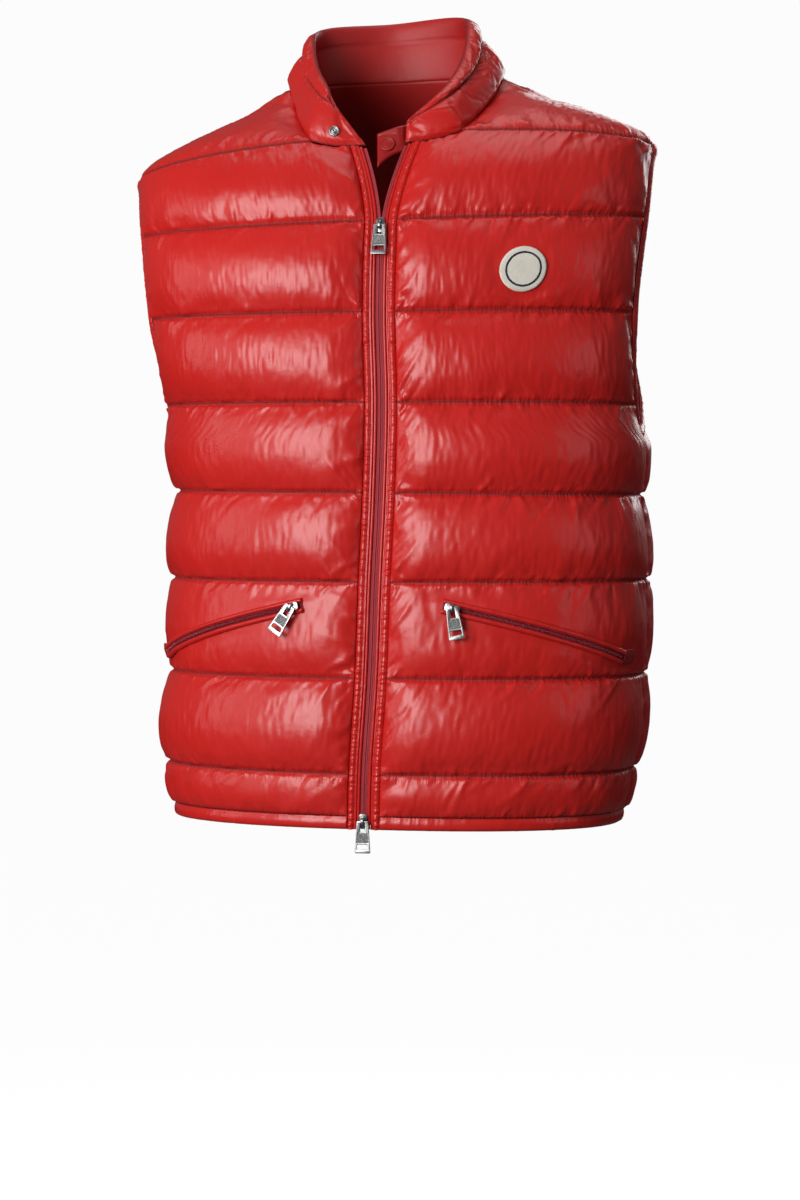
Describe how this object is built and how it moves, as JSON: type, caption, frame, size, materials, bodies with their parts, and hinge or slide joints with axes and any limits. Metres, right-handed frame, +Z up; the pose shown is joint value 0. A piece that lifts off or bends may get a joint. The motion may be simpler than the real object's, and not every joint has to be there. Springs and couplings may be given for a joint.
{
  "type": "puffer vest",
  "caption": "Sleeveless quilted down vest in worn form, with a stand collar, a two-way front zip, bound armholes and slanted zip pockets.",
  "frame": {"origin": "between the two points where the shoulder seams meet the collar, level with them and 12 mm in front of them, where the wearer's shoulders hold the vest", "axes": "+Z up along the wearer's spine, +X towards the wearer's left, and the front with its zip faces -Y"},
  "size_m": [0.4574, 0.2848, 0.7273],
  "materials": {
    "red_nylon": "glossy",
    "crimson_tape": "matte",
    "bright_metal": "polished",
    "off_white_felt": "matte"
  },
  "bodies": {
    "vest": {"back": "red_nylon", "left_front": "red_nylon", "right_front": "red_nylon", "collar": "red_nylon", "collar_tab": "red_nylon", "hem_band": "red_nylon", "snap_cap": "red_nylon", "left_armhole_binding": "red_nylon", "left_placket": "red_nylon", "left_piping": "red_nylon", "left_pocket_upper_welt": "red_nylon", "left_pocket_lower_welt": "red_nylon", "left_pocket_tack": "red_nylon", "right_armhole_binding": "red_nylon", "right_placket": "red_nylon", "right_piping": "red_nylon", "right_pocket_upper_welt": "red_nylon", "right_pocket_lower_welt": "red_nylon", "right_pocket_tack": "red_nylon", "left_front_zip": "crimson_tape", "right_front_zip": "crimson_tape", "left_pocket_zip": "crimson_tape", "right_pocket_zip": "crimson_tape", "snap_stud": "bright_metal", "top_slider": "bright_metal", "bottom_slider": "bright_metal", "right_pocket_slider": "bright_metal", "left_pocket_slider": "bright_metal", "chest_patch": "off_white_felt"},
    "top_pull": {"top_pull": "bright_metal"},
    "bottom_pull": {"bottom_pull": "bright_metal"},
    "right_pocket_pull": {"right_pocket_pull": "bright_metal"},
    "left_pocket_pull": {"left_pocket_pull": "bright_metal"}
  },
  "joints": [
    {"name": "top_pull_hinge", "type": "hinge", "parent": "vest", "child": "top_pull", "pos_m": [0.01189, -0.11665, -0.12916], "axis": [-1, 0, 0], "range_deg": [0, 150]},
    {"name": "bottom_pull_hinge", "type": "hinge", "parent": "vest", "child": "bottom_pull", "pos_m": [-0.00085, -0.12773, -0.63303], "axis": [-1, 0, 0], "range_deg": [0, 150]},
    {"name": "right_pocket_pull_hinge", "type": "hinge", "parent": "vest", "child": "right_pocket_pull", "pos_m": [-0.0609, -0.1393, -0.45102], "axis": [-0.8158, 0.1989, 0.5431], "range_deg": [0, 150]},
    {"name": "left_pocket_pull_hinge", "type": "hinge", "parent": "vest", "child": "left_pocket_pull", "pos_m": [0.07874, -0.14594, -0.45089], "axis": [-0.979, -0.1078, -0.1731], "range_deg": [0, 150]}
  ]
}
